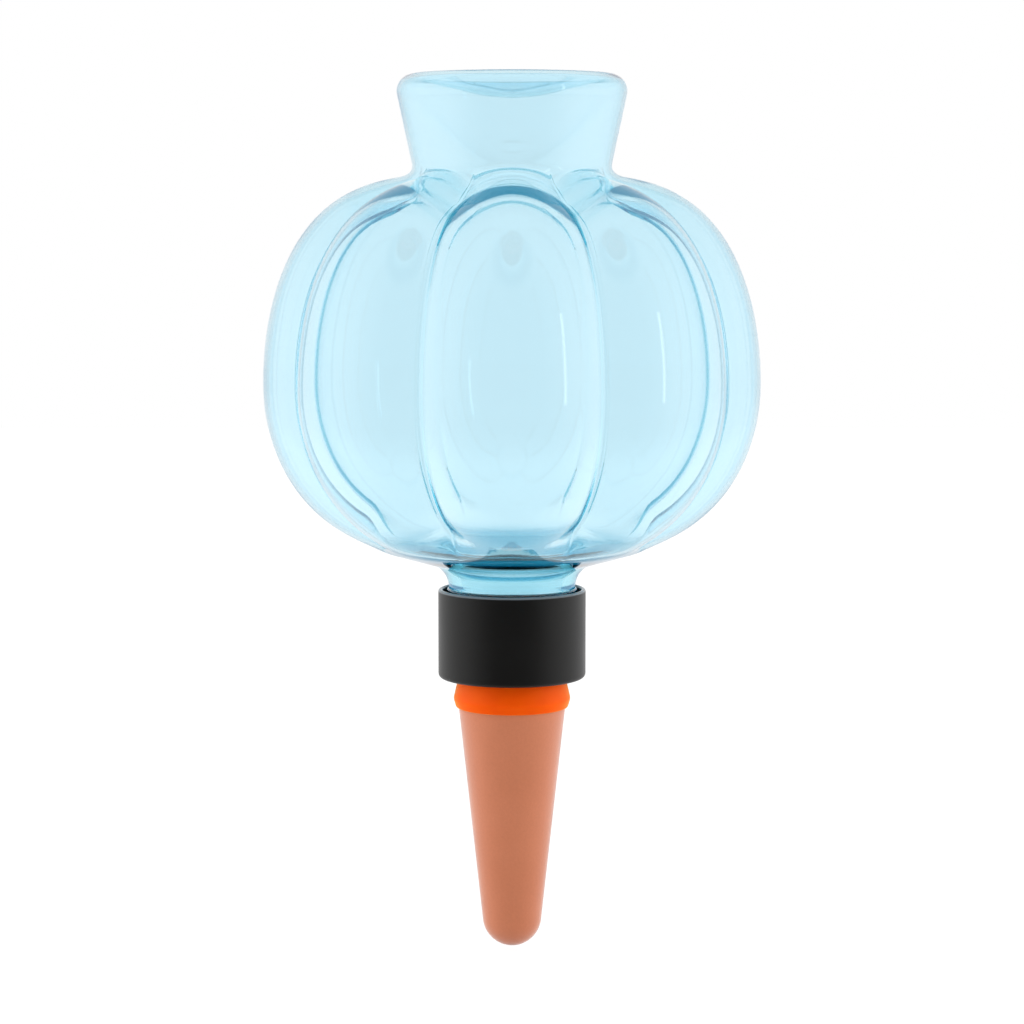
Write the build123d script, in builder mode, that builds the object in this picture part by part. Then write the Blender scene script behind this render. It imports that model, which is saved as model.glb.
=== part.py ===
from build123d import *
import os
from math import asin, atan, cos, hypot, pi, radians, sin, sqrt, tan

os.makedirs("parts", exist_ok=True)

# Watering globe, in mm and degrees. Z is the axis, and height zero is the soil line, at the
# sleeve's lower lip. The sizes below are set one by one, and all that follows is worked out.

# Neck: the bottle's finish, with a screw thread and a ring above it
neck_root_radius = 12.4
neck_wall = 1.55
neck_ring_step = 1.35
neck_ring_height = 2.4
neck_ring_proud = 0.2
neck_ring_round = 0.7
neck_waist_step = 1.0
neck_waist_height = 0.15
neck_throat_step = 0.95

# Screw thread, right-handed, one start
thread_pitch = 3.2
thread_root_width = 1.5
thread_crest_width = 0.7
thread_ridge = 1.2
thread_lead_in = 1.6
thread_clearance = 0.3

# Collar: a screw closure with a hole in its floor for the spike
collar_lift = 6.35
collar_height = 18.9
collar_wall = 1.7
collar_floor = 1.8
collar_mouth_wall = 0.95
collar_mouth_depth = 3.6
collar_edge_round = 1.0
collar_lip_round = 0.4

# Spike: a slip-cast terracotta cone, closed and round at its foot, with a rim round its mouth
spike_reach = 51.6
spike_taper = 6.3
spike_tip_radius = 6.25
spike_wall = 3.0
spike_shoulder_height = 1.2
spike_neck_step = 1.5
spike_neck_height = 6.0
spike_rim_height = 2.2
spike_mouth_round = 0.5
hole_pass_clearance = 0.15

# Sleeve: a silicone grommet that wraps the rim, with a flared skirt below the collar
sleeve_flange = 1.2
sleeve_rim_wall = 1.0
sleeve_mouth_step = 0.85
sleeve_skirt_wall = 0.95
sleeve_skirt_height = 1.6
sleeve_flange_clearance = 0.7
sleeve_waist_clearance = 0.15

# Lobed body of the globe: its crest line has one curve above the equator and one below
globe_radius = 52.2
globe_wall = 1.2
globe_upper_height = 44.2
globe_lower_height = 37.3
upper_squareness = 4.03
lower_squareness = 3.16
lobe_count = 8
groove_depth = 4.7
groove_top_run = 14.0
groove_foot_run = 9.0

# Flare from the lobes into the neck, outside and inside
flare_start_radius = 27.0
flare_round = 5.3
throat_round = 6.4

# Filling stand on top, on which the globe stands upside down
stand_height = 20.4
stand_top_radius = 24.0
stand_flare = 12.1
stand_corner_round = 3.6
stand_land_width = 2.0
stand_dish_depth = 4.2
stand_root_depth = 8.0
stand_lobe_overlap = 4.6

# How far ridges and cores are sunk into what they join, and how far cuts overrun
bury = 0.15
overrun = 1.0

# Heights of what the collar clamps, from its floor to the neck's lip
collar_top = collar_lift + collar_height
floor_top = collar_lift + collar_floor
rim_bottom = floor_top + sleeve_flange
rim_top = rim_bottom + spike_rim_height
neck_lip = rim_top + sleeve_flange
mouth_step = collar_top - collar_mouth_depth
neck_ring_bottom = collar_top + neck_ring_proud - neck_ring_height
waist_top = collar_top + neck_ring_proud + neck_waist_height

# Radii that follow from the neck
neck_bore_radius = neck_root_radius - neck_wall
neck_waist_radius = neck_root_radius + neck_waist_step
thread_bore_radius = neck_root_radius + thread_ridge + thread_clearance
collar_radius = thread_bore_radius + collar_wall
flange_radius = thread_bore_radius - sleeve_flange_clearance
spike_rim_radius = flange_radius - sleeve_rim_wall


def spike_radius(height):
    """Radius of the spike's cone, which runs on from the round of its tip along the tangent."""
    slope = radians(spike_taper)
    tangent_height = spike_tip_radius * (1 - sin(slope)) - spike_reach
    return spike_tip_radius * cos(slope) + (height - tangent_height) * tan(slope)


# Radii that follow from the spike's cone
shoulder_radius = spike_radius(spike_shoulder_height)
spike_neck_radius = shoulder_radius - spike_neck_step
collar_hole_radius = shoulder_radius + hole_pass_clearance
sleeve_waist_radius = collar_hole_radius - sleeve_waist_clearance

# Spike: the same half section twice, outside and then inside by the wall
with BuildPart() as spike:
    for inset, top, mode in ((0, rim_top, Mode.ADD), (spike_wall, rim_top + overrun, Mode.SUBTRACT)):
        tip_radius = spike_tip_radius - inset
        tip = (0, inset - spike_reach)
        tangent_height = spike_tip_radius - spike_reach - tip_radius * sin(radians(spike_taper))
        tangent = (tip_radius * cos(radians(spike_taper)), tangent_height)
        shoulder = (shoulder_radius - inset, spike_shoulder_height - inset / 2)
        neck = (spike_neck_radius - inset, spike_neck_height - inset / 2)
        with BuildSketch(Plane.XZ):
            with BuildLine():
                RadiusArc(tip, tangent, -tip_radius)
                Polyline(tangent, shoulder, neck, (neck[0], top), (0, top), tip)
            make_face()
        revolve(axis=Axis.Z, mode=mode)
    with BuildSketch(Plane.XY.offset(rim_bottom)):
        Circle(spike_rim_radius)
        Circle(spike_neck_radius - spike_wall, mode=Mode.SUBTRACT)
    extrude(amount=spike_rim_height)
    top_edges = spike.edges().filter_by(GeomType.CIRCLE).group_by(Axis.Z)[-1]
    fillet(top_edges.sort_by(SortBy.RADIUS)[0], spike_mouth_round)
spike.part.label = "spike"

# Sleeve: its inside is the spike's own outside, so the two always fit
with BuildPart() as seal_sleeve:
    with BuildSketch(Plane.XZ):
        with BuildLine():
            lip = Line((spike_radius(0), 0), (spike_radius(0) + sleeve_skirt_wall / 2, 0))
            bulge = (spike_radius(sleeve_skirt_height) + sleeve_skirt_wall, sleeve_skirt_height)
            mouth_radius = neck_bore_radius - sleeve_mouth_step
            TangentArc(lip @ 1, bulge, tangent=lip % 1)
            Polyline(bulge, (sleeve_waist_radius, collar_lift), (sleeve_waist_radius, floor_top),
                     (flange_radius, floor_top), (flange_radius, neck_lip),
                     (mouth_radius, neck_lip), (mouth_radius, rim_top),
                     (spike_rim_radius, rim_top), (spike_rim_radius, rim_bottom),
                     (spike_neck_radius, rim_bottom), (spike_neck_radius, spike_neck_height),
                     (shoulder_radius, spike_shoulder_height), lip @ 0)
        make_face()
    revolve(axis=Axis.Z)
seal_sleeve.part.label = "seal_sleeve"


def helical_ridge(wall_radius, start, length, way):
    """A thread's ridge: a trapezium carried up a helix, outwards (way 1) or inwards (way -1)."""
    foot, crest = wall_radius - way * bury, wall_radius + way * thread_ridge
    with BuildPart() as ridge:
        with BuildLine() as path:
            Helix(thread_pitch, length, wall_radius, center=(0, 0, start))
        with BuildSketch(Plane.XZ):
            with BuildLine():
                Polyline((foot, start - thread_root_width / 2), (crest, start - thread_crest_width / 2),
                         (crest, start + thread_crest_width / 2), (foot, start + thread_root_width / 2),
                         close=True)
            make_face()
        sweep(path=path.line, is_frenet=True)
    return ridge.part


# Thread: the collar's ridge lies half a pitch above the neck's, so the two are in mesh
male_start = neck_lip + thread_lead_in
female_start = male_start + thread_pitch / 2
male_ridge = helical_ridge(neck_root_radius, male_start,
                           neck_ring_bottom - thread_root_width - male_start, 1)
female_ridge = helical_ridge(thread_bore_radius, female_start,
                             mouth_step - thread_root_width - female_start, -1)

# Collar: a cup with a hole in its floor, and a wider, thin-walled mouth that hides the neck's ring
with BuildPart() as screw_collar:
    with BuildSketch(Plane.XY.offset(collar_lift)):
        Circle(collar_radius)
        Circle(collar_hole_radius, mode=Mode.SUBTRACT)
    extrude(amount=collar_height)
    fillet(screw_collar.faces().sort_by(Axis.Z)[0].outer_wire().edges(), collar_edge_round)
    with BuildSketch(Plane.XY.offset(floor_top)):
        Circle(thread_bore_radius)
    extrude(amount=collar_height, mode=Mode.SUBTRACT)
    with BuildSketch(Plane.XY.offset(mouth_step)):
        Circle(collar_radius - collar_mouth_wall)
    extrude(amount=collar_height, mode=Mode.SUBTRACT)
    fillet(screw_collar.faces().sort_by(Axis.Z)[-1].edges(), collar_lip_round)
    add(female_ridge)
screw_collar.part.label = "screw_collar"

# Sections of one lobe: shares of its half width at which it is drawn, and points down each
half_lobe = 180 / lobe_count
section_shares = (-1, -0.5, 0, 0.5, 1)
section_points = 21
core_radius = neck_bore_radius / 2


def crest_turn(radius, squareness):
    """How far round from the equator the crest line is when it has shrunk to this radius."""
    return asin(sqrt(1 - (radius / globe_radius) ** squareness))


def crest_point(turn):
    """A point of the crest line, with its height above the equator, and its outward normal.

    The line is radius = R * (1 - (height / H)^2)^(1 / squareness), and turn is asin(height / H)."""
    reach = globe_upper_height if turn > 0 else globe_lower_height
    squareness = upper_squareness if turn > 0 else lower_squareness
    rise_share = sin(turn)
    radius = globe_radius * (1 - rise_share ** 2) ** (1 / squareness)
    steepness = 2 * radius * rise_share / (reach * squareness * (1 - rise_share ** 2))
    length = hypot(1, steepness)
    return radius, reach * rise_share, 1 / length, steepness / length


def run_out(radius, end, run):
    """Share of the groove's depth that is left: it grows smoothly with radius from none at end."""
    share = min(1, max(0, (radius - end) / run))
    return share ** 2 * (3 - 2 * share)


# The flare below starts where the lobes end, with their slope there
foot_turn = -crest_turn(flare_start_radius, lower_squareness)
foot_radius, foot_height, foot_out, foot_up = crest_point(foot_turn)
flare_slope = atan(-foot_out / foot_up)


def flare_end(start, end_radius, fillet_radius):
    """Both ends of the round at the flare's foot: it leaves the flare and stands on the neck."""
    radius = end_radius + fillet_radius * (1 - sin(flare_slope))
    height = start[1] - (start[0] - radius) * tan(flare_slope)
    return (radius, height), (end_radius, height - fillet_radius * cos(flare_slope))


# The globe sits on its neck: the equator is as high as brings the flare's foot onto the waist
equator = waist_top - flare_end((foot_radius, foot_height), neck_waist_radius, flare_round)[1][1]
lobes_top = equator + globe_upper_height
stand_top = lobes_top + stand_height
stand_root_height = lobes_top - stand_root_depth


def stand_points(inset):
    """The stand's half section moved inwards by inset: root, top of the flare, start of the land."""
    flare = radians(stand_flare)
    corner = stand_corner_round - inset
    centre = (stand_top_radius - stand_corner_round, stand_top - stand_corner_round)
    flare_top = (centre[0] + corner * cos(flare), centre[1] - corner * sin(flare))
    root = (flare_top[0] - (flare_top[1] - stand_root_height) * tan(flare), stand_root_height)
    return root, flare_top, (centre[0], centre[1] + corner)


# The lobes end inside the stand's foot
stand_foot_radius = stand_points(0)[0][0] + stand_root_depth * tan(radians(stand_flare))
lobe_end_radius = stand_foot_radius - stand_lobe_overlap
top_turn = crest_turn(lobe_end_radius, upper_squareness)


def lobe_points(share, inset):
    """Points down one lobe, at a share of its half width from the crest, moved inwards by inset.

    They lie closer together near both ends, where the grooves run out."""
    points = []
    for i in range(section_points):
        turn = foot_turn + (top_turn - foot_turn) * (1 + cos(pi * i / (section_points - 1))) / 2
        radius, height, out, up = crest_point(turn)
        if turn > 0:
            depth_share = run_out(radius, lobe_end_radius, groove_top_run)
        else:
            depth_share = run_out(radius, flare_start_radius, groove_foot_run)
        depth = groove_depth * share ** 2 * depth_share + inset
        points.append((radius - depth * out, equator + height - depth * up))
    return points


def lobed_body(inset, end_radius, fillet_radius):
    """The lobes and their flare: each lobe is a loft through half sections turned about the axis."""
    with BuildPart() as lobe:
        for share in section_shares:
            points = lobe_points(share, inset)
            top, foot = points[0], points[-1]
            round_start, round_end = flare_end(foot, end_radius, fillet_radius)
            with BuildSketch(Plane.XZ.rotated((0, 0, share * half_lobe))):
                with BuildLine():
                    Spline(*points, tangents=[(1, 0), (-cos(flare_slope), -sin(flare_slope))])
                    Line(foot, round_start)
                    RadiusArc(round_start, round_end, -fillet_radius)
                    Polyline(round_end, (end_radius, collar_top), (core_radius, collar_top),
                             (core_radius, top[1]), top)
                make_face()
        loft()
    with BuildPart() as body:
        with PolarLocations(0, lobe_count):
            add(lobe.part)
        with BuildSketch(Plane.XY.offset(collar_top)):
            Circle(core_radius + bury)
        extrude(amount=top[1] - collar_top)
    return body.part


def stand_body(inset):
    """The filling stand, moved inwards by inset, with its root inside the lobes."""
    root, flare_top, land_start = stand_points(inset)
    land = (land_start[0] - stand_land_width, land_start[1])
    dish = (0, land[1] - stand_dish_depth)
    dish_round = (land[0] ** 2 + stand_dish_depth ** 2) / (2 * stand_dish_depth)
    with BuildPart() as stand:
        with BuildSketch(Plane.XZ):
            with BuildLine():
                Line(root, flare_top)
                RadiusArc(flare_top, land_start, inset - stand_corner_round)
                Line(land_start, land)
                RadiusArc(land, dish, dish_round)
                Polyline(dish, (0, stand_root_height), root)
            make_face()
        revolve(axis=Axis.Z)
    return stand.part


# Globe: lobes, stand and neck outside, less the same shapes moved inwards by the wall
outer_lobes = lobed_body(0, neck_waist_radius, flare_round)
inner_lobes = lobed_body(globe_wall, neck_bore_radius + neck_throat_step, throat_round)
outer_stand, inner_stand = stand_body(0), stand_body(globe_wall)
with BuildPart() as globe:
    add(outer_lobes)
    add(outer_stand)
    with BuildSketch(Plane.XY.offset(neck_lip)):
        Circle(neck_root_radius)
    extrude(amount=collar_top - neck_lip)
    with BuildSketch(Plane.XZ) as ring:
        with Locations((core_radius, neck_ring_bottom)):
            Rectangle(neck_root_radius + neck_ring_step - core_radius, neck_ring_height,
                      align=(Align.MIN, Align.MIN))
        fillet(ring.vertices().group_by(Axis.X)[-1], neck_ring_round)
    revolve(axis=Axis.Z)
    add(male_ridge)
    add(inner_lobes, mode=Mode.SUBTRACT)
    add(inner_stand, mode=Mode.SUBTRACT)
    with BuildSketch(Plane.XY.offset(neck_lip - overrun)):
        Circle(neck_bore_radius)
    extrude(amount=collar_top - neck_lip + 2 * overrun, mode=Mode.SUBTRACT)
globe.part.label = "globe"

for piece in (globe, screw_collar, seal_sleeve, spike):
    export_step(piece.part, f"parts/{piece.part.label}.step")
print("equator", round(equator, 2), "stand top", round(stand_top, 3), "neck lip", round(neck_lip, 2))
print("overall height", round(stand_top + spike_reach, 1), "collar across", 2 * collar_radius)
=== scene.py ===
import bpy
import numpy as np
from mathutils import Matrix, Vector


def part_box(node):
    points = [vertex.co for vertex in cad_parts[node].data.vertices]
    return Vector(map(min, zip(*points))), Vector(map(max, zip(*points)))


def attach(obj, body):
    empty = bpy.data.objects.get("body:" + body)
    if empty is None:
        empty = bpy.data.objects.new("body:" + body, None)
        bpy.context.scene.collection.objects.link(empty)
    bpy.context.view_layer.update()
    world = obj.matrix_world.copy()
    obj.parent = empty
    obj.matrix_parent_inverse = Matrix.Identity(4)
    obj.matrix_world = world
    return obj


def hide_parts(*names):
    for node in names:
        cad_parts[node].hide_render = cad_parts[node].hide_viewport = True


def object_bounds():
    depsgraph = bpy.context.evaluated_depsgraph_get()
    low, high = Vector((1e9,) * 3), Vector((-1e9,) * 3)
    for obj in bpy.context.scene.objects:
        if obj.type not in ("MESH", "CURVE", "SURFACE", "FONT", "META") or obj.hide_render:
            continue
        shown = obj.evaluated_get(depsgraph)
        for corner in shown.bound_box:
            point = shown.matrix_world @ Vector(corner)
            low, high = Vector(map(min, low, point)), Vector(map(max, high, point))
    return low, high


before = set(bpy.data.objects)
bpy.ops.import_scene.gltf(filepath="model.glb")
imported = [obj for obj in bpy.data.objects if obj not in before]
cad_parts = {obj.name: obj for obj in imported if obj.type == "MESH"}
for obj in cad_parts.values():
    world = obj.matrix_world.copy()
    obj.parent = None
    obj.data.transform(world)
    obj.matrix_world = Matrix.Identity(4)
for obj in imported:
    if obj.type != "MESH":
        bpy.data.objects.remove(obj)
cad_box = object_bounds()
mm = 0.001

# Globe: the water reservoir, blown in one piece from clear PET with a faint sky-blue tint, as a
# bottle is. Its eight lobes flow into a moulded neck with a screw thread below, and above into a
# flared hollow stand with a dished end, on which it stands upside down while it is filled.
neck_root_radius, neck_bore_radius, neck_lip_round = 12.4, 10.85, 0.4
neck_ring_radius, neck_ring_height, neck_ring_proud = 13.75, 2.4, 0.2
neck_ring_round, neck_ring_foot_round = 0.7, 0.3
neck_waist_radius, neck_waist_height, neck_waist_round = 13.4, 0.15, 0.1
thread_pitch, thread_ridge, thread_lead_in = 3.2, 1.2, 1.6
thread_root_width, thread_crest_width = 1.5, 0.7
thread_run_out = 0.1
globe_radius = 52.2
globe_wall = 0.7
globe_upper_height, upper_squareness = 44.2, 4.03
globe_lower_height, lower_squareness = 37.3, 3.16
lobe_count = 8
lobes_end_radius = 23.9
groove_depth = 4.7
groove_top_run, groove_top_end = 14.0, 15.9
groove_foot_run = 9.0
groove_round_share = 0.006
groove_thickening, groove_thick_share = 0.25, 0.03
throat_thickening, throat_run = 1.85, 12.0
heel_thickening, heel_middle, heel_run = 1.7, 19.0, 5.0
shoulder_thickening, shoulder_middle, shoulder_run = 0.5, 30.0, 4.5
flare_start_radius, flare_round = 27.0, 5.3
stand_height, stand_top_radius, stand_flare = 20.4, 24.0, np.radians(12.1)
stand_corner_round, stand_land_width, stand_dish_depth = 3.6, 2.0, 4.2
stand_junction_round = 2.4
gate_radius, gate_height = 2.2, 0.5
gate_flat_share, gate_slope_share = 0.7, 0.3

# How finely the globe is divided: points round half a lobe, rows, points on a round, and spacings
lobe_steps, lobe_row_count = 24, 84
even_part, crowded_part = 0.2, 0.8
round_points, flare_points, bend_points, stand_points, dish_points = 14, 12, 10, 18, 22
arc_step, neck_spacing, bore_spacing = 0.2, 0.16, 0.8

neck_lip, stand_top = (corner.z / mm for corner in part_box("globe"))
neck_ring_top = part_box("screw_collar")[1].z / mm + neck_ring_proud
neck_ring_bottom = neck_ring_top - neck_ring_height
thread_start = neck_lip + thread_lead_in
equator = stand_top - stand_height - globe_upper_height


def skin(name, rings, first=None, last=None):
    """Make a closed mesh from rings of points in millimetres, rings[i, j] being turn j of ring i.

    Each point is joined to the next one round its ring and to the same turn of the next ring. The
    ends close on the points first and last, or on each other where those are left out. Faces point
    outwards when the rings rise on the outside and sink on the inside."""
    count, turns = rings.shape[:2]
    index = np.arange(count * turns).reshape(count, turns)
    lower = index if first is None else index[:-1]
    upper = np.roll(index, -1, 0) if first is None else index[1:]
    quads = np.stack([lower, np.roll(lower, -1, 1), np.roll(upper, -1, 1), upper], -1).reshape(-1, 4)
    points, faces = rings.reshape(-1, 3), quads.tolist()
    if first is not None:
        points = np.vstack([points, first, last])
        foot, head = index[0], index[-1]
        faces += np.stack([np.full(turns, count * turns), np.roll(foot, -1), foot], -1).tolist()
        faces += np.stack([np.full(turns, count * turns + 1), head, np.roll(head, -1)], -1).tolist()
    mesh = bpy.data.meshes.new(name)
    mesh.from_pydata((points * mm).tolist(), [], faces)
    mesh.polygons.foreach_set("use_smooth", [True] * len(faces))
    mesh.validate()
    piece = bpy.data.objects.new(name, mesh)
    bpy.context.scene.collection.objects.link(piece)
    return piece


def turned(profile, turns):
    """Carry a profile of (radius, height) points round the axis, through the given turns."""
    radius, height = profile[:, :1], profile[:, 1:]
    return np.stack([radius * np.cos(turns), radius * np.sin(turns), height + 0 * turns], -1)


def rounded(corners, spacing):
    """Join corners (radius, height, round) by straight runs and arcs, with points spacing apart.

    Each arc touches both runs at its corner: it starts round * tan(half the turn) before it. It has
    a point for each arc_step of its turn, and 3 at least."""
    corners = np.array(corners, float)
    before, here, after = corners[:-2, :2], corners[1:-1, :2], corners[2:, :2]
    to_here = (here - before) / np.linalg.norm(here - before, axis=1, keepdims=True)
    onward = (after - here) / np.linalg.norm(after - here, axis=1, keepdims=True)
    turn = np.arctan2(np.cross(to_here, onward), (to_here * onward).sum(1))
    reach = corners[1:-1, 2] * np.tan(abs(turn) / 2)
    path = [corners[0, :2]]
    for spot, way, bend, cut, size in zip(here, to_here, turn, reach, corners[1:-1, 2]):
        if size == 0:
            path.append(spot)
            continue
        angles = np.linspace(0, bend, max(3, int(np.ceil(abs(bend) / arc_step))))
        left = np.array([-way[1], way[0]]) * np.sign(bend)
        centre = spot - way * cut + left * size
        spokes = np.outer(np.sin(abs(angles)), way) - np.outer(np.cos(angles), left)
        path += list(centre + size * spokes)
    path = np.array(path + [corners[-1, :2]])
    length = np.linalg.norm(np.diff(path, axis=0), axis=1)
    steps = [np.linspace(0, 1, max(1, int(np.ceil(run / spacing))), endpoint=False) for run in length]
    runs = [a + (b - a) * step[:, None] for a, b, step in zip(path[:-1], path[1:], steps)]
    return np.vstack(runs + [path[-1:]])


def screw_ridge(heights, turns, start, length):
    """How far the thread stands proud at each height and turn, from 0 to 1.

    It is a trapezium across the helix height = start + pitch * turn / (2 pi), and it tapers off
    over thread_run_out of a turn at both ends."""
    place = (heights - start) / thread_pitch - turns / (2 * np.pi)
    coil = np.round(place)
    off_centre = abs(place - coil) * thread_pitch
    flank = (thread_root_width - thread_crest_width) / 2
    rise = np.clip((thread_root_width / 2 - off_centre) / flank, 0, 1)
    along = coil + turns / (2 * np.pi)
    foot_end = np.clip(along / thread_run_out, 0, 1)
    head_end = np.clip((length / thread_pitch - along) / thread_run_out, 0, 1)
    return rise * (foot_end * head_end)


def below_skin(rings, wall):
    """Move each point of a skin inwards, square to its meridian and within that upright plane.

    It moves by wall / (cosine between that way and the skin's own normal), so that the wall is even
    on the flanks of the grooves and the valleys are as sharp inside as outside."""
    upward = np.gradient(rings, axis=0)
    around = np.roll(rings, -1, 1) - np.roll(rings, 1, 1)
    sideways = np.cross([0, 0, 1], rings)
    normal, square = np.cross(around, upward), np.cross(sideways, upward)
    normal, square = (way / np.linalg.norm(way, axis=-1, keepdims=True) for way in (normal, square))
    return rings - square * (wall / (normal * square).sum(-1))[..., None]


# Turns round the globe: they crowd towards the grooves, where the shape changes most
even_share = np.arange(-lobe_steps, lobe_steps, 2) / lobe_steps
lobe_share = even_part * even_share + crowded_part * np.sin(np.pi / 2 * even_share)
half_lobe = np.pi / lobe_count
globe_turns = (np.arange(lobe_count)[:, None] * 2 * half_lobe + lobe_share * half_lobe).ravel()
share = np.tile(lobe_share, lobe_count)
valley_share = 1 - np.hypot(1 - abs(share), groove_round_share) + groove_round_share


def crest_line(turn):
    """Points and outward normals of the crest line: radius = R * (1 - sin(turn)^2)^(1 / squareness)
    at height = H * sin(turn), with one H and squareness above the equator and one below."""
    reach = np.where(turn > 0, globe_upper_height, globe_lower_height)
    squareness = np.where(turn > 0, upper_squareness, lower_squareness)
    left = 1 - np.sin(turn) ** 2
    radius = globe_radius * left ** (1 / squareness)
    steep = 2 * radius * np.sin(turn) / (reach * squareness * left)
    size = np.hypot(1, steep)
    return radius, equator + reach * np.sin(turn), 1 / size, steep / size


def run_out(radius, end, run):
    """Share that is left at a radius: it eases from none at end to all at end + run."""
    ease = np.clip((radius - end) / run, 0, 1)
    return ease ** 2 * (3 - 2 * ease)


def crest_turn(radius, squareness):
    """How far round from the equator the crest line has shrunk to this radius."""
    return np.arcsin(np.sqrt(1 - (radius / globe_radius) ** squareness))


# Lobes: rows from the flare up to just short of the stand, grooved by share of depth times the
# square of the share of the way from crest to valley
foot_turn = -crest_turn(flare_start_radius, lower_squareness)
head_turn = crest_turn(lobes_end_radius, upper_squareness)
row_ease = (1 - np.cos(np.pi * np.linspace(0, 1, lobe_row_count))) / 2
row_turns = foot_turn + (head_turn - foot_turn) * row_ease
radius, height, out, up = (values[:, None] for values in crest_line(row_turns))
groove = np.where(height > equator, run_out(radius, groove_top_end, groove_top_run),
                  run_out(radius, flare_start_radius, groove_foot_run))
groove = groove_depth * groove * valley_share ** 2
lobe_radius, lobe_height = radius - groove * out, height - groove * up

# Neck and flare below the lobes, as a profile that is then turned
slope = np.arctan2(-out[0, 0], up[0, 0]) % np.pi
round_radius = neck_waist_radius + flare_round * (1 - np.sin(slope))
round_height = height[0, 0] - (radius[0, 0] - round_radius) * np.tan(slope)
round_centre = (neck_waist_radius + flare_round, round_height - flare_round * np.cos(slope))
arc = np.linspace(0, np.pi / 2 - slope, round_points)[1:]
flare_arc = np.stack([round_centre[0] - flare_round * np.cos(arc),
                      round_centre[1] + flare_round * np.sin(arc)], -1)
flare_run = np.linspace(flare_arc[-1], (radius[0, 0], height[0, 0]), flare_points)[1:-1]
neck = rounded([
    (neck_bore_radius, neck_lip, 0), (neck_root_radius, neck_lip, neck_lip_round),
    (neck_root_radius, neck_ring_bottom, neck_ring_foot_round),
    (neck_ring_radius, neck_ring_bottom, neck_ring_round),
    (neck_ring_radius, neck_ring_top, neck_ring_round / 2),
    (neck_waist_radius, neck_ring_top, neck_waist_round),
    (neck_waist_radius, neck_ring_top + neck_waist_height, 0)], neck_spacing)
neck = np.vstack([neck, flare_arc, flare_run])
neck_radius, neck_height = (neck[:, i:i + 1] + 0 * globe_turns for i in (0, 1))
on_thread = neck_height < neck_ring_bottom
neck_radius = neck_radius + on_thread * thread_ridge * screw_ridge(
    neck_height, globe_turns, thread_start, neck_ring_bottom - thread_root_width - thread_start)

# Stand: a soft round out of the lobes, the flare, a corner, the flat ring and the dish, in whose
# middle the gate of the mould left a low round scar
corner_centre = (stand_top_radius - stand_corner_round, stand_top - stand_corner_round)
flare_top = np.array([corner_centre[0] + stand_corner_round * np.cos(stand_flare),
                      corner_centre[1] - stand_corner_round * np.sin(stand_flare)])
start_radius, start_height = lobe_radius[-1], lobe_height[-1]
lobe_fall = (lobe_height[-1] - lobe_height[-2]) / (lobe_radius[-1] - lobe_radius[-2])
meet_radius = flare_top[0] - (flare_top[1] - start_height) * np.tan(stand_flare)
meet_height = start_height + lobe_fall * (meet_radius - start_radius)
leave_height = meet_height + stand_junction_round
leave_radius = flare_top[0] - (flare_top[1] - leave_height) * np.tan(stand_flare)
bend = np.linspace(0, 1, bend_points)[1:, None]
at_start, at_meet, at_leave = (1 - bend) ** 2, 2 * bend * (1 - bend), bend ** 2
bend_radius = at_start * start_radius + at_meet * meet_radius + at_leave * leave_radius
bend_height = at_start * start_height + at_meet * meet_height + at_leave * leave_height
rise = np.linspace(0, 1, stand_points)[1:, None]
flare_radius = leave_radius + (flare_top[0] - leave_radius) * rise
flare_height = leave_height + (flare_top[1] - leave_height) * rise
arc = np.linspace(-stand_flare, np.pi / 2, round_points)[1:]
corner_arc = np.stack([corner_centre[0] + stand_corner_round * np.cos(arc),
                       corner_centre[1] + stand_corner_round * np.sin(arc)], -1)
dish_share = np.linspace(1, 0, dish_points)[:-1]
dish_radius = dish_share * (corner_centre[0] - stand_land_width)
gate = gate_height * (1 - run_out(
    dish_radius, gate_radius * gate_flat_share, gate_radius * gate_slope_share))
dish = np.stack([dish_radius, stand_top - stand_dish_depth * (1 - dish_share ** 2) + gate], -1)
head = np.vstack([corner_arc, dish])
head_radius, head_height = (head[:, i:i + 1] + 0 * globe_turns for i in (0, 1))

# The outer skin, and the inner one below it. A blown wall varies: it is thicker along the grooves,
# in the throat, on the heel beside it and on the shoulders.
outer_radius = np.vstack([neck_radius, lobe_radius, bend_radius, flare_radius, head_radius])
outer_height = np.vstack([neck_height, lobe_height, bend_height, flare_height, head_height])
outer = np.stack([outer_radius * np.cos(globe_turns), outer_radius * np.sin(globe_turns),
                  outer_height], -1)
from_arc = len(neck) - len(flare_arc) - len(flare_run)
blown = outer[from_arc:]
in_groove = groove_thickening * np.exp(-((1 - abs(share)) / groove_thick_share) ** 2)
wall = np.full(blown.shape[:2], globe_wall)
lobe_rows = slice(len(neck) - from_arc, len(neck) - from_arc + len(lobe_radius))
wall[lobe_rows] += in_groove * (groove / groove_depth).max(1, keepdims=True)
from_axis = np.hypot(blown[..., 0], blown[..., 1])
lower_half, upper_half = blown[..., 2] < equator, blown[..., 2] > equator
at_throat = lower_half * (1 - run_out(from_axis, neck_waist_radius, throat_run))
at_heel = lower_half * np.exp(-((from_axis - heel_middle) / heel_run) ** 2)
at_shoulder = upper_half * (blown[..., 2] < stand_top - stand_height)
at_shoulder = at_shoulder * np.exp(-((from_axis - shoulder_middle) / shoulder_run) ** 2)
wall += throat_thickening * at_throat + heel_thickening * at_heel + shoulder_thickening * at_shoulder
inner = below_skin(blown, wall)
bore = rounded([(neck_bore_radius, neck_lip + neck_lip_round, 0),
                (neck_bore_radius, neck_ring_top, 0)], bore_spacing)
rings = np.concatenate([inner[::-1], turned(bore[::-1], globe_turns), outer[1:]])
gate_top = stand_top - stand_dish_depth + gate_height
globe = skin("globe_shell", rings, (0, 0, gate_top - globe_wall), (0, 0, gate_top))


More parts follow.
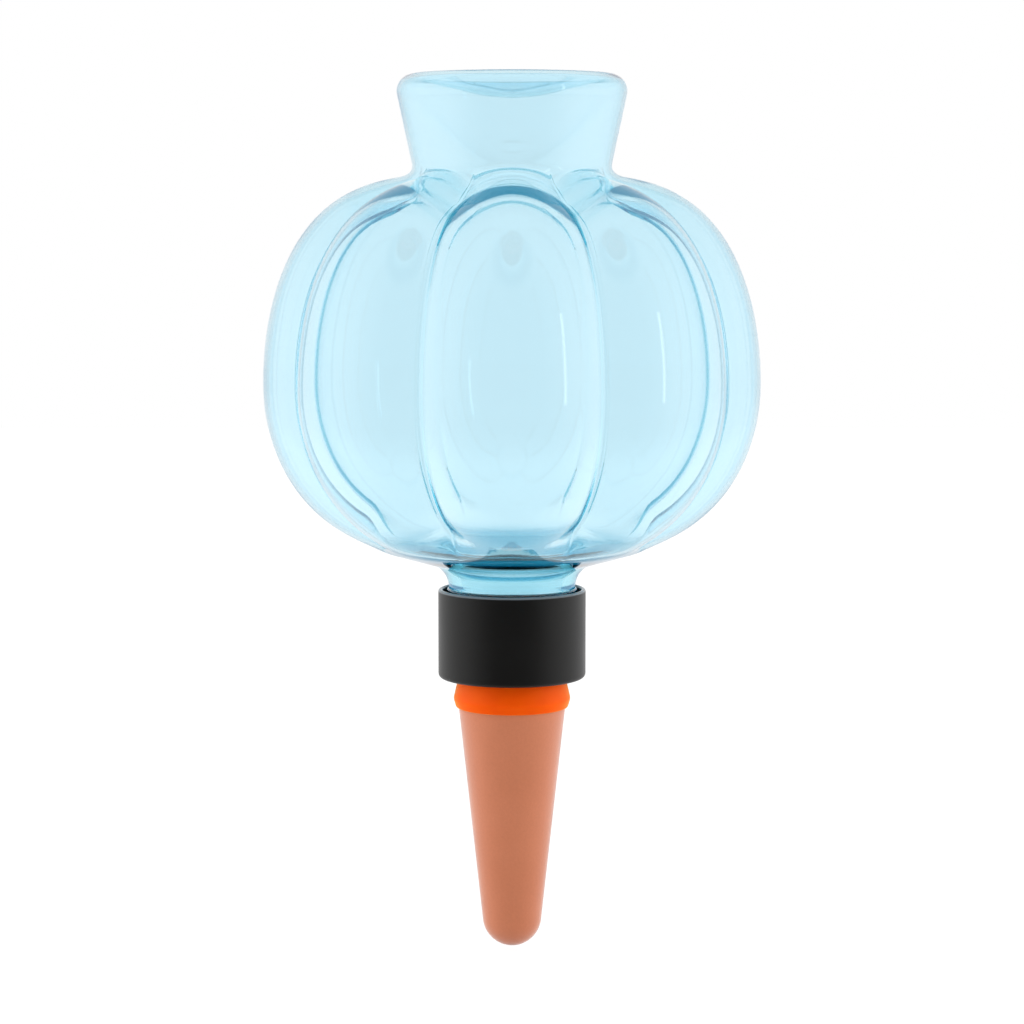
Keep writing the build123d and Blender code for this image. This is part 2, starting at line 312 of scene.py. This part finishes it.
def linear(code):
    """Turn an sRGB hex code into linear red, green and blue with an alpha of 1."""
    srgb = np.array([int(code[i:i + 2], 16) for i in (1, 3, 5)]) / 255
    return (*np.where(srgb <= 0.04045, srgb / 12.92, ((srgb + 0.055) / 1.055) ** 2.4), 1)


def add_node(tree, kind, settings, inputs):
    """Add a node to a tree: settings are its properties, and inputs are values or sockets to link.

    A Mix of colours has its share, first and second colour at inputs 0, 6 and 7 and the result at
    output 2, and a Mix of numbers has them at inputs 0, 2 and 3 and the result at output 0."""
    node = tree.nodes.new("ShaderNode" + kind)
    for name, value in settings.items():
        setattr(node, name, value)
    for name, value in inputs.items():
        if isinstance(value, bpy.types.NodeSocket):
            tree.links.new(value, node.inputs[name])
        else:
            node.inputs[name].default_value = value
    return node


def new_material(name):
    """Start a material with an empty tree, and return both."""
    material = bpy.data.materials.new(name)
    material.use_nodes = True
    material.node_tree.nodes.clear()
    return material, material.node_tree


# Blown PET: glass clear, with a slight wave left by the cooling wall. The throat cools last and
# stays thickest, and a deeper blue is painted into its colour as shade, for the dark band there.
# Lamps shine straight through, and light that is caught in the wall comes out of it deep blue.
smooth, of_colours = {"interpolation_type": "SMOOTHSTEP"}, {"data_type": "RGBA"}
pet_clear, pet_painted_throat_shade, pet_lamplight, pet_caught = "#e9f8fe", "#7ac4dc", "#eef9fd", "#92d4e2"
caught_after = 1.5
wave_size, wave_height = 22 * mm, 0.25 * mm
# What the wall lets through of linear red, green and blue, and how strongly it takes the rest
pet_let_through, pet_density = (0.15, 0.78, 0.87, 1), 120.0
# Where the painted throat shade comes in past the neck, goes out up the lobes, and goes out off the axis
throat_radii, throat_heights, floor_radii = (14.4, 17.4), (33.0, 45.0), (20.0, 32.0)
pet, tree = new_material("blown_pet")
place = add_node(tree, "TexCoord", {}, {}).outputs["Object"]
waves = add_node(tree, "TexNoise", {}, {"Vector": place, "Scale": 1 / wave_size, "Detail": 1.0})
wave_bump = add_node(tree, "Bump", {}, {
    "Height": waves.outputs["Fac"], "Distance": wave_height, "Strength": 0.6})
level = add_node(tree, "SeparateXYZ", {}, {"Vector": place}).outputs["Z"]
flat = add_node(tree, "VectorMath", {"operation": "MULTIPLY"}, {0: place, 1: (1, 1, 0)})
off_axis = add_node(tree, "VectorMath", {"operation": "LENGTH"}, {0: flat.outputs[0]})
past_neck = add_node(tree, "MapRange", smooth, {
    "Value": off_axis.outputs["Value"],
    "From Min": throat_radii[0] * mm, "From Max": throat_radii[1] * mm})
below_lobes = add_node(tree, "MapRange", smooth, {
    "Value": level, "From Min": throat_heights[0] * mm, "From Max": throat_heights[1] * mm,
    "To Min": 1.0, "To Max": 0.0})
near_axis = add_node(tree, "MapRange", smooth, {
    "Value": off_axis.outputs["Value"],
    "From Min": floor_radii[0] * mm, "From Max": floor_radii[1] * mm, "To Min": 1.0, "To Max": 0.0})
on_floor = add_node(tree, "Math", {"operation": "MULTIPLY"}, {
    0: past_neck.outputs[0], 1: below_lobes.outputs[0]})
painted_throat_shade = add_node(tree, "Math", {"operation": "MULTIPLY"}, {
    0: on_floor.outputs[0], 1: near_axis.outputs[0]})
# Painted shade: a deeper blue in the throat, past the neck, below the lobes and close to the axis
tint_with_painted_shade = add_node(tree, "Mix", of_colours, {
    0: painted_throat_shade.outputs[0], 6: linear(pet_clear), 7: linear(pet_painted_throat_shade)})
clear = add_node(tree, "BsdfPrincipled", {}, {
    "Base Color": tint_with_painted_shade.outputs[2], "Roughness": 0.02, "IOR": 1.57, "Transmission Weight": 1.0,
    "Normal": wave_bump.outputs["Normal"]})
lamp_way = add_node(tree, "BsdfTransparent", {}, {"Color": linear(pet_lamplight)})
caught_way = add_node(tree, "BsdfTransparent", {}, {"Color": linear(pet_caught)})
ray = add_node(tree, "LightPath", {}, {})
caught = add_node(tree, "Math", {"operation": "GREATER_THAN"}, {
    0: ray.outputs["Glossy Depth"], 1: caught_after})
let_out = add_node(tree, "MixShader", {}, {
    0: caught.outputs[0], 1: clear.outputs[0], 2: caught_way.outputs[0]})
surface = add_node(tree, "MixShader", {}, {
    0: ray.outputs["Is Shadow Ray"], 1: let_out.outputs[0], 2: lamp_way.outputs[0]})
tint = add_node(tree, "VolumeAbsorption", {}, {"Color": pet_let_through, "Density": pet_density})
add_node(tree, "OutputMaterial", {}, {"Surface": surface.outputs[0], "Volume": tint.outputs[0]})
globe.data.materials.append(pet)
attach(globe, "globe")
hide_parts("globe")

# Collar: a screw closure with a hole in its floor for the spike, injection moulded in black
# polypropylene. Its thin mouth hides the neck's ring, and its thread is stripped off the core.
collar_floor, collar_hole_radius = 1.8, 11.58
collar_bore_radius, collar_mouth_wall, collar_mouth_depth = 13.9, 0.95, 3.6
collar_foot_round, collar_rim_round, collar_mouth_round, collar_hole_round = 1.0, 0.5, 0.4, 0.25
collar_corner_round, collar_edge_round, underside_start = 0.2, 0.15, 0.9
collar_facets, collar_spacing, on_bore_within = 192, 0.3, 0.01
collar_low, collar_high = (corner.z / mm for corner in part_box("screw_collar"))
collar_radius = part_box("screw_collar")[1].x / mm
floor_top = collar_low + collar_floor
mouth_radius, mouth_step = collar_radius - collar_mouth_wall, collar_high - collar_mouth_depth
underside = (collar_hole_radius + underside_start, collar_low, 0)
collar_turns = np.linspace(0, 2 * np.pi, collar_facets, endpoint=False)
collar_profile = rounded([
    underside, (collar_radius, collar_low, collar_foot_round),
    (collar_radius, collar_high, collar_rim_round), (mouth_radius, collar_high, collar_mouth_round),
    (mouth_radius, mouth_step, collar_corner_round), (collar_bore_radius, mouth_step, collar_edge_round),
    (collar_bore_radius, floor_top, collar_corner_round), (collar_hole_radius, floor_top, collar_edge_round),
    (collar_hole_radius, collar_low, collar_hole_round), underside], collar_spacing)[:-1]
collar_rings = turned(collar_profile, collar_turns)
on_bore = abs(collar_profile[:, :1] - collar_bore_radius) < on_bore_within
ridge_start = thread_start + thread_pitch / 2
ridge = on_bore * screw_ridge(collar_profile[:, 1:], collar_turns, ridge_start,
                              mouth_step - thread_root_width - ridge_start)
collar_rings[..., :2] *= (1 - ridge * thread_ridge / collar_bore_radius)[..., None]
collar = skin("screw_closure", collar_rings)

# Moulded polypropylene: satin from a fine spark-eroded mould, a little uneven in its shine. The
# upper edge is smooth, and a fine light grey line is painted on it as a highlight.
pp_dark, pp_pale, pp_painted_highlight = "#090807", "#121110", "#74787c"
edge_foot, edge_head = 0.55, 0.25
pp_grit_size, pp_grit_height, pp_flow_size = 0.35 * mm, 0.02 * mm, 9 * mm
polypropylene, tree = new_material("black_polypropylene")
place = add_node(tree, "TexCoord", {}, {}).outputs["Object"]
grit = add_node(tree, "TexNoise", {}, {"Vector": place, "Scale": 1 / pp_grit_size, "Detail": 2.0})
flow = add_node(tree, "TexNoise", {}, {"Vector": place, "Scale": 1 / pp_flow_size, "Detail": 3.0})
grit_bump = add_node(tree, "Bump", {}, {
    "Height": grit.outputs["Fac"], "Distance": pp_grit_height, "Strength": 0.5})
shine = add_node(tree, "MapRange", {}, {"Value": flow.outputs["Fac"], "To Min": 0.27, "To Max": 0.4})
shade = add_node(tree, "Mix", of_colours, {
    0: flow.outputs["Fac"], 6: linear(pp_dark), 7: linear(pp_pale)})
level = add_node(tree, "SeparateXYZ", {}, {"Vector": place}).outputs["Z"]
# Painted highlight: a light grey band along the upper edge, where the edge is also made smoother
painted_highlight_band = add_node(tree, "MapRange", smooth, {
    "Value": level,
    "From Min": (collar_high - edge_foot) * mm, "From Max": (collar_high - edge_head) * mm})
shade_with_painted_highlight = add_node(tree, "Mix", of_colours, {
    0: painted_highlight_band.outputs[0], 6: shade.outputs[2], 7: linear(pp_painted_highlight)})
edge_shine = add_node(tree, "Mix", {}, {0: painted_highlight_band.outputs[0], 2: shine.outputs[0], 3: 0.12})
black = add_node(tree, "BsdfPrincipled", {}, {
    "Base Color": shade_with_painted_highlight.outputs[2], "Roughness": edge_shine.outputs[0], "IOR": 1.49,
    "Specular IOR Level": 0.17, "Normal": grit_bump.outputs["Normal"]})
add_node(tree, "OutputMaterial", {}, {"Surface": black.outputs[0]})
collar.data.materials.append(polypropylene)
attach(collar, "collar")
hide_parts("screw_collar")

# Sleeve: an orange silicone grommet, compression moulded. It wraps the spike's rim inside the
# collar, passes through the collar's floor, and swells into a skirt that seals on the spike.
spike_rim_radius, spike_rim_height = 12.2, 2.2
spike_neck_radius, spike_neck_height = 9.93, 6.0
shoulder_radius, shoulder_height = 11.43, 1.2
sleeve_flange, flange_round = 1.2, 0.3
sleeve_mouth_radius, sleeve_mouth_round = 10.0, 0.25
sleeve_waist_radius, waist_flare, waist_drop, waist_round = 11.43, 0.05, 0.4, 2.0
skirt_radius, skirt_height, skirt_round = 12.4, 1.9, 1.6
lip_radius, lip_width, lip_height, lip_inner_round, lip_outer_round = 11.3, 0.55, 0.6, 0.15, 0.5
sleeve_corner_round, sleeve_grip_round = 0.1, 0.5
sleeve_facets, sleeve_spacing = 160, 0.25
sleeve_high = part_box("seal_sleeve")[1].z / mm
flange_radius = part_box("seal_sleeve")[1].x / mm
rim_foot, rim_head = floor_top + sleeve_flange, sleeve_high - sleeve_flange
sleeve_profile = rounded([
    (lip_radius, lip_height, 0), (lip_radius, 0, lip_inner_round),
    (lip_radius + lip_width, 0, lip_outer_round), (skirt_radius, skirt_height, skirt_round),
    (sleeve_waist_radius + waist_flare, collar_low - waist_drop, waist_round),
    (sleeve_waist_radius, floor_top, sleeve_corner_round),
    (flange_radius, floor_top, flange_round), (flange_radius, sleeve_high, flange_round),
    (sleeve_mouth_radius, sleeve_high, sleeve_mouth_round),
    (sleeve_mouth_radius, rim_head, sleeve_corner_round),
    (spike_rim_radius, rim_head, sleeve_corner_round), (spike_rim_radius, rim_foot, sleeve_corner_round),
    (spike_neck_radius, rim_foot, sleeve_corner_round),
    (spike_neck_radius, spike_neck_height, sleeve_grip_round),
    (shoulder_radius, shoulder_height, sleeve_grip_round),
    (lip_radius, lip_height, 0)], sleeve_spacing)[:-1]
sleeve_turns = np.linspace(0, 2 * np.pi, sleeve_facets, endpoint=False)
sleeve = skin("silicone_sleeve", turned(sleeve_profile, sleeve_turns))

# Silicone rubber: saturated and slightly see-into, with a dry satin skin that picks up dust
silicone_deep, silicone_pale, silicone_dust = "#e24a00", "#ee5800", "#ffd060"
silicone_grain_size, silicone_grain_height, cloud_size = 0.5 * mm, 0.02 * mm, 6 * mm
silicone, tree = new_material("orange_silicone")
place = add_node(tree, "TexCoord", {}, {}).outputs["Object"]
grain = add_node(tree, "TexNoise", {}, {
    "Vector": place, "Scale": 1 / silicone_grain_size, "Detail": 2.0})
cloud = add_node(tree, "TexNoise", {}, {"Vector": place, "Scale": 1 / cloud_size, "Detail": 2.0})
grain_bump = add_node(tree, "Bump", {}, {
    "Height": grain.outputs["Fac"], "Distance": silicone_grain_height, "Strength": 0.5})
hue = add_node(tree, "Mix", of_colours, {
    0: cloud.outputs["Fac"], 6: linear(silicone_deep), 7: linear(silicone_pale)})
rubber = add_node(tree, "BsdfPrincipled", {}, {
    "Base Color": hue.outputs[2], "Roughness": 0.5, "IOR": 1.41, "Specular IOR Level": 0.06,
    "Subsurface Weight": 0.3, "Subsurface Radius": (1.0, 0.35, 0.1), "Subsurface Scale": 1.2 * mm,
    "Sheen Weight": 1.0, "Sheen Tint": linear(silicone_dust), "Sheen Roughness": 0.35,
    "Normal": grain_bump.outputs["Normal"]})
add_node(tree, "OutputMaterial", {}, {"Surface": rubber.outputs[0]})
sleeve.data.materials.append(silicone)
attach(sleeve, "spike_set")
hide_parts("seal_sleeve")

# Spike: a hollow cone with a round tip, slip cast in a plaster mould from red clay and fired
# without a glaze, so that water seeps through its wall. The sleeve is stretched over its rim.
spike_tip_radius, spike_taper, spike_wall = 6.25, np.radians(6.3), 3.0
spike_round, rim_foot_round, rim_edge_round, rim_mouth_round = 0.6, 0.2, 0.25, 0.5
spike_facets, tip_points, cone_spacing, rim_spacing = 160, 18, 0.7, 0.4
spike_foot, rim_top = (corner.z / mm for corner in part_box("spike"))
rim_low = rim_top - spike_rim_height
spike_turns = np.linspace(0, 2 * np.pi, spike_facets, endpoint=False)
tip_arc = np.linspace(0, np.pi / 2 - spike_taper, tip_points)[1:]


def cone_profile(inset):
    """The spike's half section, moved inwards by inset: the round tip, the cone and the neck."""
    size = spike_tip_radius - inset
    tip_height = spike_foot + spike_tip_radius - size * np.cos(tip_arc)
    tip = np.stack([size * np.sin(tip_arc), tip_height], -1)
    top = rounded([(*tip[-1], 0), (shoulder_radius - inset, shoulder_height - inset / 2, spike_round),
                   (spike_neck_radius - inset, spike_neck_height - inset / 2, spike_round),
                   (spike_neck_radius - inset, rim_low, 0)], cone_spacing)
    return np.vstack([tip, top[1:]])


rim = rounded([(spike_neck_radius, rim_low, 0), (spike_rim_radius, rim_low, rim_foot_round),
               (spike_rim_radius, rim_top, rim_edge_round),
               (spike_neck_radius - spike_wall, rim_top, rim_mouth_round),
               (spike_neck_radius - spike_wall, rim_low, 0)], rim_spacing)
spike_profile = np.vstack([cone_profile(0)[:-1], rim, cone_profile(spike_wall)[-2::-1]])
spike = skin("terracotta_spike", turned(spike_profile, spike_turns), (0, 0, spike_foot),
             (0, 0, spike_foot + spike_wall))

# Terracotta: dry and matt, with fine grit, open pores and the soft patches of an uneven firing
clay_deep, clay_pale = "#b86c49", "#c47755"
clay_grit_size, clay_pore_depth, patch_size = 0.6 * mm, 0.04 * mm, 14 * mm
terracotta, tree = new_material("unglazed_terracotta")
place = add_node(tree, "TexCoord", {}, {}).outputs["Object"]
clay_grit = add_node(tree, "TexNoise", {}, {
    "Vector": place, "Scale": 1 / clay_grit_size, "Detail": 4.0, "Roughness": 0.7})
patches = add_node(tree, "TexNoise", {}, {"Vector": place, "Scale": 1 / patch_size, "Detail": 3.0})
body = add_node(tree, "Mix", of_colours, {
    0: patches.outputs["Fac"], 6: linear(clay_deep), 7: linear(clay_pale)})
speck = add_node(tree, "MapRange", {}, {
    "Value": clay_grit.outputs["Fac"],
    "From Min": 0.3, "From Max": 0.7, "To Min": 0.96, "To Max": 1.03})
clay_colour = add_node(tree, "VectorMath", {"operation": "SCALE"}, {
    0: body.outputs[2], "Scale": speck.outputs[0]})
clay_bump = add_node(tree, "Bump", {}, {
    "Height": clay_grit.outputs["Fac"], "Distance": clay_pore_depth, "Strength": 0.5})
clay = add_node(tree, "BsdfPrincipled", {}, {
    "Base Color": clay_colour.outputs[0], "Roughness": 0.85, "IOR": 1.45, "Sheen Weight": 0.9,
    "Sheen Roughness": 0.4, "Normal": clay_bump.outputs["Normal"]})
add_node(tree, "OutputMaterial", {}, {"Surface": clay.outputs[0]})
spike.data.materials.append(terracotta)
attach(spike, "spike_set")
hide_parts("spike")

# Floor: a plain sheet of white paper just below the spike's tip. The camera sees it nearly white
# with a faint shadow. Through the globe it is plain white, a little brighter near by, and glossy
# surfaces mirror the studio in its place. It is open to a camera below it.
floor_half, floor_drop = 1.5, 1.0 * mm
paper_white, glow_share = (0.82, 0.82, 0.82, 1), 0.8
near_slope, far_slope, near_level = -0.052, -0.035, 1.1
side_power, gloss_sides, light_sides = 4.0, 0.9, 3.2
gap_front, gap_end, gap_level = -0.95, -0.3, 0.35
floor_height = spike_foot * mm - floor_drop
square = ((-1, -1), (1, -1), (1, 1), (-1, 1))
floor_corners = [(x * floor_half, y * floor_half, floor_height) for x, y in square]
floor_mesh = bpy.data.meshes.new("floor")
floor_mesh.from_pydata(floor_corners, [], [(0, 1, 2, 3)])
floor = bpy.data.objects.new("floor", floor_mesh)
bpy.context.scene.collection.objects.link(floor)


def studio_level(tree, way, side_gain):
    """Brightness of the studio towards a way: walls at both sides, as side_gain * |x|^side_power,
    over a plain level of 1, which falls to gap_level in a dark gap in front, from y = gap_end to
    y = gap_front."""
    across = add_node(tree, "SeparateXYZ", {}, {"Vector": way})
    sideways = add_node(tree, "Math", {"operation": "ABSOLUTE"}, {0: across.outputs["X"]})
    sides = add_node(tree, "Math", {"operation": "POWER"}, {0: sideways.outputs[0], 1: side_power})
    gap = add_node(tree, "MapRange", smooth, {
        "Value": across.outputs["Y"], "From Min": gap_front, "From Max": gap_end,
        "To Min": gap_level, "To Max": 1.0})
    level = add_node(tree, "Math", {"operation": "MULTIPLY_ADD"}, {
        0: sides.outputs[0], 1: side_gain, 2: gap.outputs[0]})
    return level.outputs[0]


paper, tree = new_material("white_paper")
lit = add_node(tree, "BsdfDiffuse", {}, {"Color": paper_white})
place = add_node(tree, "TexCoord", {}, {}).outputs["Object"]
outward = add_node(tree, "VectorMath", {"operation": "NORMALIZE"}, {0: place}).outputs[0]
mirrored = add_node(tree, "Emission", {}, {"Strength": studio_level(tree, outward, gloss_sides)})
ray = add_node(tree, "LightPath", {}, {})
in_gloss = add_node(tree, "Math", {"operation": "SUBTRACT", "use_clamp": True}, {
    0: ray.outputs["Is Glossy Ray"], 1: ray.outputs["Is Transmission Ray"]})
by_kind = add_node(tree, "MixShader", {}, {
    0: in_gloss.outputs[0], 1: lit.outputs[0], 2: mirrored.outputs[0]})
glow = add_node(tree, "Emission", {}, {"Strength": 1.12})
mostly = add_node(tree, "Math", {"operation": "MULTIPLY"}, {
    0: ray.outputs["Is Camera Ray"], 1: glow_share})
mixed = add_node(tree, "MixShader", {}, {0: mostly.outputs[0], 1: by_kind.outputs[0], 2: glow.outputs[0]})
slope = add_node(tree, "SeparateXYZ", {}, {"Vector": outward}).outputs["Z"]
nearer = add_node(tree, "MapRange", smooth, {
    "Value": slope, "From Min": near_slope, "From Max": far_slope, "To Min": near_level, "To Max": 1.0})
backdrop = add_node(tree, "Emission", {}, {"Strength": nearer.outputs[0]})
surface = add_node(tree, "MixShader", {}, {
    0: ray.outputs["Is Transmission Ray"], 1: mixed.outputs[0], 2: backdrop.outputs[0]})
back = add_node(tree, "NewGeometry", {}, {}).outputs["Backfacing"]
from_below = add_node(tree, "Math", {"operation": "MULTIPLY"}, {0: back, 1: ray.outputs["Is Camera Ray"]})
open_way = add_node(tree, "BsdfTransparent", {}, {})
sheet = add_node(tree, "MixShader", {}, {
    0: from_below.outputs[0], 1: surface.outputs[0], 2: open_way.outputs[0]})
add_node(tree, "OutputMaterial", {}, {"Surface": sheet.outputs[0]})
floor.data.materials.append(paper)

# Studio: a white surround with bright walls at both sides, softer as they are mirrored than as they
# light the object, and a dark gap in front. Seen directly or through the globe it is plain white.
# One narrow strip lamp stands at the right and in front.
white = (1, 1, 1, 1)
strip_place, strip_size, strip_power = (0.75, -0.6, 0.2), (0.05, 0.5), 0.12
world = bpy.data.worlds.new("studio")
bpy.context.scene.world = world
world.use_nodes = True
tree = world.node_tree
tree.nodes.clear()
way = add_node(tree, "TexCoord", {}, {}).outputs["Generated"]
light = add_node(tree, "Background", {}, {
    "Color": white, "Strength": studio_level(tree, way, light_sides)})
mirrored = add_node(tree, "Background", {}, {
    "Color": white, "Strength": studio_level(tree, way, gloss_sides)})
ray = add_node(tree, "LightPath", {}, {})
surround = add_node(tree, "MixShader", {}, {
    0: ray.outputs["Is Glossy Ray"], 1: light.outputs[0], 2: mirrored.outputs[0]})
seen = add_node(tree, "Math", {"operation": "MAXIMUM"}, {
    0: ray.outputs["Is Camera Ray"], 1: ray.outputs["Is Transmission Ray"]})
backdrop = add_node(tree, "Background", {}, {"Color": white, "Strength": 1.0})
mixed = add_node(tree, "MixShader", {}, {0: seen.outputs[0], 1: surround.outputs[0], 2: backdrop.outputs[0]})
add_node(tree, "OutputWorld", {}, {"Surface": mixed.outputs[0]})

middle = (cad_box[0] + cad_box[1]) / 2
lamp = bpy.data.lights.new("right_strip", "AREA")
lamp.shape = "RECTANGLE"
lamp.size, lamp.size_y = strip_size
lamp.energy = strip_power
strip = bpy.data.objects.new("right_strip", lamp)
strip.location = strip_place
strip.rotation_euler = (Vector(strip_place) - Vector(middle)).to_track_quat("Z", "Y").to_euler()
bpy.context.scene.collection.objects.link(strip)

# Camera: 0.62 m away and level with the globe's shoulders, aimed at a point on the axis below the
# globe's middle, where the photograph's frame has its centre.
camera_place, aim = Vector((0, -0.62, 0.1053)), Vector((0, 0, 0.0415))
frame_width, sensor_width = 0.216, 36
lens = bpy.data.cameras.new("camera")
camera = bpy.data.objects.new("camera", lens)
camera.location = camera_place
camera.rotation_euler = (camera_place - aim).to_track_quat("Z", "Y").to_euler()
lens.sensor_width = sensor_width
lens.lens = sensor_width * (camera_place - aim).length / frame_width
bpy.context.scene.collection.objects.link(camera)
bpy.context.scene.camera = camera
bpy.context.scene.view_settings.view_transform = "Standard"
